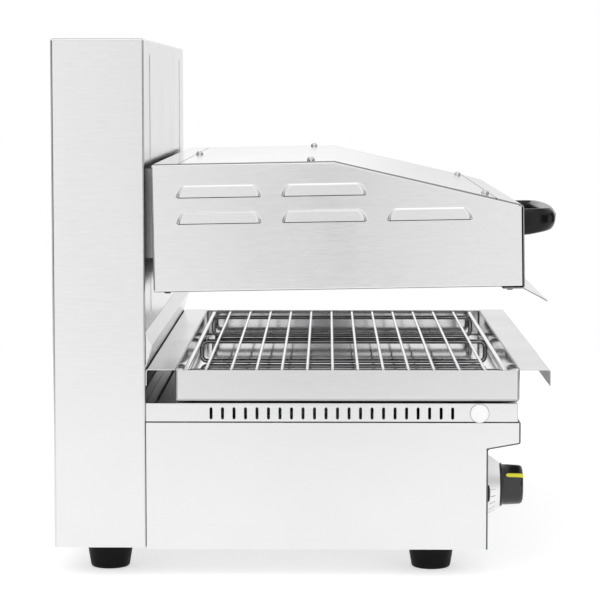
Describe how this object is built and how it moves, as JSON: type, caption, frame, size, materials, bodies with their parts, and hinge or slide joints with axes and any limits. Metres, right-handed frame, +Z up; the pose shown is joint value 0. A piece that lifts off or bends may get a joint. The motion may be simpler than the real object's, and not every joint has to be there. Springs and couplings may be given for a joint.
{
  "type": "salamander grill",
  "caption": "Height-adjustable electric salamander grill: counterweighted heating head on a rear column above a base with a drip tray, a wire rack and front controls.",
  "frame": {"origin": "on the surface it stands on, under the middle of the overall box", "axes": "+Z up, -Y towards the operator, +X to the operator's right"},
  "size_m": [0.608, 0.529, 0.53],
  "materials": {
    "body_steel": "fine horizontal satin grain",
    "inner_steel": "plain mill finish",
    "chrome_wire": "bright plated wire",
    "wire_rope": "stranded galvanised rope",
    "cast_iron": "rough casting",
    "element_sheath": "heat-darkened metal sheath",
    "black_plastic": "glossy moulded",
    "white_plastic": "satin moulded",
    "grey_plastic": "plain moulded",
    "rubber": "matt moulded",
    "wool": "ceramic fibre blanket",
    "dial_metal": "satin with fine marks",
    "lamp_lens": "white lens in a black ring",
    "pointer_yellow": "moulded insert"
  },
  "bodies": {
    "stand": {"column_left_side": "body_steel", "column_right_side": "body_steel", "column_front": "body_steel", "column_top": "body_steel", "column_back": "body_steel", "splash_strip": "body_steel", "cable_gland": "black_plastic", "guide_rail_left": "inner_steel", "pulley_bracket_left": "inner_steel", "lift_cable_left": "wire_rope", "guide_rail_right": "inner_steel", "pulley_bracket_right": "inner_steel", "lift_cable_right": "wire_rope", "head_lead": "grey_plastic", "base_left_side": "body_steel", "base_right_side": "body_steel", "control_panel": "body_steel", "base_floor": "inner_steel", "vent_deck": "body_steel", "side_plug_left": "white_plastic", "foot_rear_left": "rubber", "foot_front_left": "rubber", "dial_skirt_left": "dial_metal", "regulator_left": "grey_plastic", "pilot_lamp_left": "lamp_lens", "side_plug_right": "white_plastic", "foot_rear_right": "rubber", "foot_front_right": "rubber", "dial_skirt_right": "dial_metal", "regulator_right": "grey_plastic", "pilot_lamp_right": "lamp_lens", "terminal_block": "white_plastic"},
    "head": {"head_left_side": "body_steel", "head_right_side": "body_steel", "head_back": "body_steel", "head_top": "body_steel", "head_front": "body_steel", "heat_deflector": "body_steel", "handle": "black_plastic", "reflector": "inner_steel", "insulation": "wool", "heating_element_left": "element_sheath", "heating_element_right": "element_sheath", "element_guard": "chrome_wire", "carriage": "inner_steel", "head_arm_left": "inner_steel", "head_arm_right": "inner_steel"},
    "counterweight_left": {"counterweight_left": "cast_iron"},
    "counterweight_right": {"counterweight_right": "cast_iron"},
    "pulley_left": {"pulley_left": "inner_steel"},
    "pulley_right": {"pulley_right": "inner_steel"},
    "roller_lower_left": {"guide_roller_lower_left": "grey_plastic"},
    "roller_upper_left": {"guide_roller_upper_left": "grey_plastic"},
    "roller_lower_right": {"guide_roller_lower_right": "grey_plastic"},
    "roller_upper_right": {"guide_roller_upper_right": "grey_plastic"},
    "tray": {"drip_tray": "body_steel"},
    "rack": {"grill_rack": "chrome_wire"},
    "knob_left": {"knob_left": "black_plastic"},
    "knob_right": {"knob_right": "black_plastic"}
  },
  "joints": [
    {"name": "head_lift", "type": "slide", "parent": "stand", "child": "head", "axis": [0, 0, 1], "range_m": [-0.05, 0.105], "deforming": ["lift_cable_left", "lift_cable_right", "head_lead"]},
    {"name": "counterweight_left_run", "type": "slide", "parent": "stand", "child": "counterweight_left", "axis": [0, 0, 1], "range_m": [-0.107, 0.052]},
    {"name": "pulley_left_spin", "type": "hinge", "parent": "stand", "child": "pulley_left", "pos_m": [-0.15, 0.2145, 0.492], "axis": [1, 0, 0], "range_deg": [-305, 148]},
    {"name": "roller_lower_left_spin", "type": "hinge", "parent": "head", "child": "roller_lower_left", "pos_m": [-0.248, 0.191, 0.318], "axis": [1, 0, 0], "range_deg": [-541, 259]},
    {"name": "roller_upper_left_spin", "type": "hinge", "parent": "head", "child": "roller_upper_left", "pos_m": [-0.248, 0.191, 0.388], "axis": [1, 0, 0], "range_deg": [-259, 541]},
    {"name": "counterweight_right_run", "type": "slide", "parent": "stand", "child": "counterweight_right", "axis": [0, 0, 1], "range_m": [-0.107, 0.052]},
    {"name": "pulley_right_spin", "type": "hinge", "parent": "stand", "child": "pulley_right", "pos_m": [0.15, 0.2145, 0.492], "axis": [1, 0, 0], "range_deg": [-305, 148]},
    {"name": "roller_lower_right_spin", "type": "hinge", "parent": "head", "child": "roller_lower_right", "pos_m": [0.248, 0.191, 0.318], "axis": [1, 0, 0], "range_deg": [-541, 259]},
    {"name": "roller_upper_right_spin", "type": "hinge", "parent": "head", "child": "roller_upper_right", "pos_m": [0.248, 0.191, 0.388], "axis": [1, 0, 0], "range_deg": [-259, 541]},
    {"name": "tray_slide", "type": "slide", "parent": "stand", "child": "tray", "axis": [0, -1, 0], "range_m": [0, 0.2]},
    {"name": "rack_lift", "type": "slide", "parent": "tray", "child": "rack", "axis": [0, 0, 1], "range_m": [0, 0.02]},
    {"name": "knob_left_turn", "type": "hinge", "parent": "stand", "child": "knob_left", "pos_m": [-0.228, -0.1935, 0.079], "axis": [0, 1, 0], "range_deg": [0, 270]},
    {"name": "knob_right_turn", "type": "hinge", "parent": "stand", "child": "knob_right", "pos_m": [0.228, -0.1935, 0.079], "axis": [0, 1, 0], "range_deg": [0, 270]}
  ],
  "couplings": [
    {"joint": "counterweight_left_run", "follows": "head_lift", "ratio": -1},
    {"joint": "pulley_left_spin", "follows": "head_lift", "rad_per_m": -50},
    {"joint": "roller_lower_left_spin", "follows": "head_lift", "rad_per_m": -89.286},
    {"joint": "roller_upper_left_spin", "follows": "head_lift", "rad_per_m": 89.286},
    {"joint": "counterweight_right_run", "follows": "head_lift", "ratio": -1},
    {"joint": "pulley_right_spin", "follows": "head_lift", "rad_per_m": -50},
    {"joint": "roller_lower_right_spin", "follows": "head_lift", "rad_per_m": -89.286},
    {"joint": "roller_upper_right_spin", "follows": "head_lift", "rad_per_m": 89.286}
  ]
}
